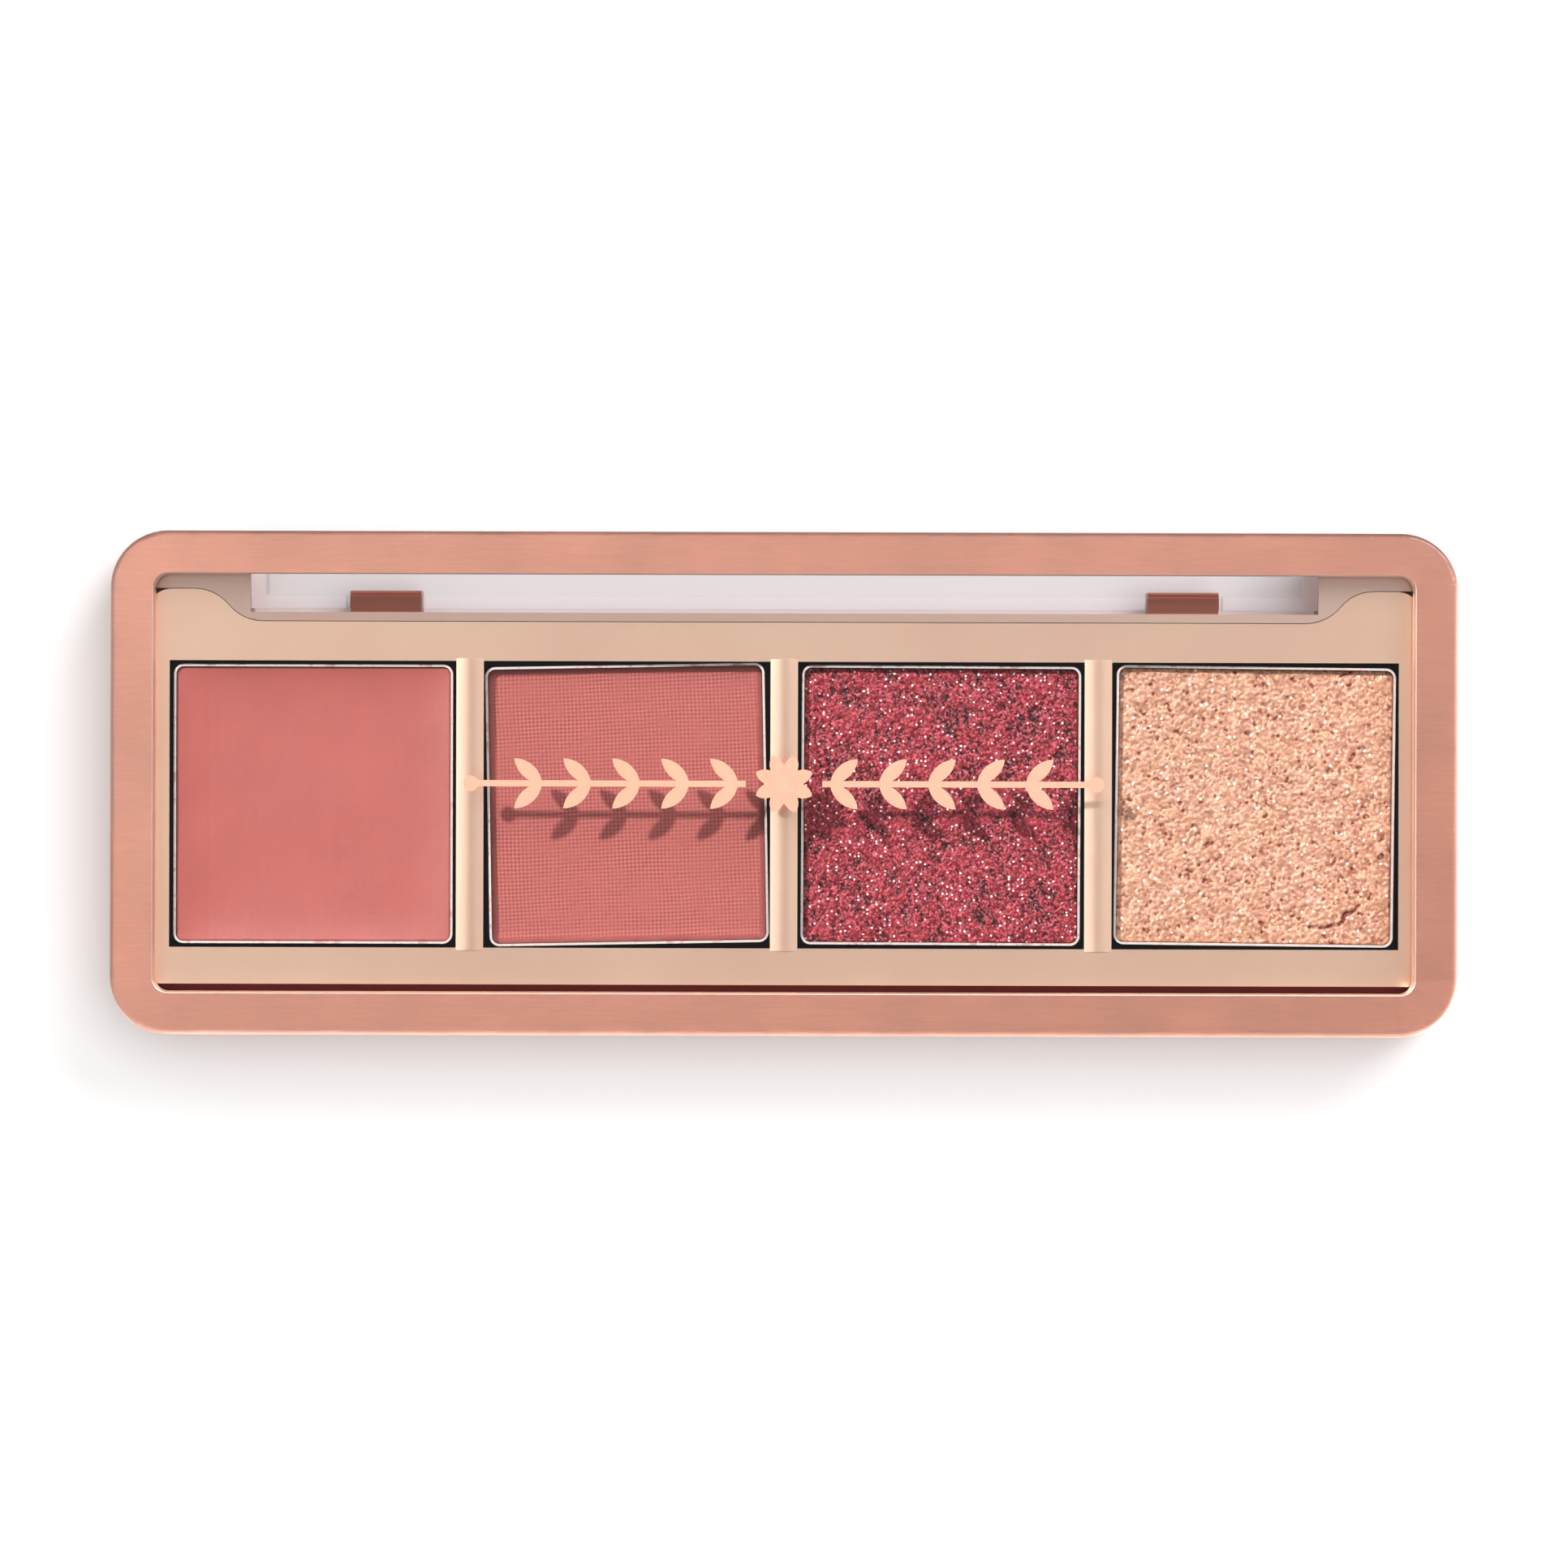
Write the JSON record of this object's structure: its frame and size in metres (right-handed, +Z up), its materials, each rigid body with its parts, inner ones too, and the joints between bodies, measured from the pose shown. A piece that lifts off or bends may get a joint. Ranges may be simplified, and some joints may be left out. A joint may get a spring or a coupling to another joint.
{
  "type": "eyeshadow palette",
  "caption": "Slim oblong eyeshadow palette: a plated base with square pans in a row, under a clear framed lid that hinges at the back.",
  "frame": {"origin": "middle of the closed case's footprint, on the surface it rests on", "axes": "+X to the right along the row of pans, +Y to the hinge at the back, +Z up"},
  "size_m": [0.108, 0.0404, 0.0104],
  "materials": {
    "plated_case": "rose-gold vacuum-plated plastic, glossy",
    "plated_frame": "rose-gold plated plastic with fine brushed lines",
    "tray": "pale champagne plated plastic, soft gloss",
    "tin": "thin drawn tinplate",
    "cream": "satin poured cream",
    "matte_powder": "pressed matte powder with a fine woven press mark",
    "burgundy_glitter": "pressed foil glitter, burgundy",
    "gold_glitter": "pressed chunky glitter, peach gold",
    "glue": "dried hot-melt glue",
    "pin_steel": "bright steel pin",
    "clear": "clear styrene plastic, polished",
    "foil": "hot-stamped peach foil",
    "label_film": "blank printed-stock film"
  },
  "bodies": {
    "base": {"base_shell": "plated_case", "base_label": "label_film", "pan_tray": "tray", "hinge_pin_left": "pin_steel", "hinge_pin_right": "pin_steel", "cream_pan": "tin", "matte_pan": "tin", "burgundy_pan": "tin", "gold_pan": "tin", "cream_cake": "cream", "matte_cake": "matte_powder", "burgundy_cake": "burgundy_glitter", "gold_cake": "gold_glitter", "cream_glue": "glue", "matte_glue": "glue", "burgundy_glue": "glue", "gold_glue": "glue"},
    "lid": {"lid_cover": "clear", "lid_frame": "plated_frame", "foil_motif": "foil"}
  },
  "joints": [
    {"name": "lid_hinge", "type": "hinge", "parent": "base", "child": "lid", "pos_m": [0, 0.0185, 0.0042], "axis": [-1, 0, 0], "range_deg": [0, 105]}
  ]
}
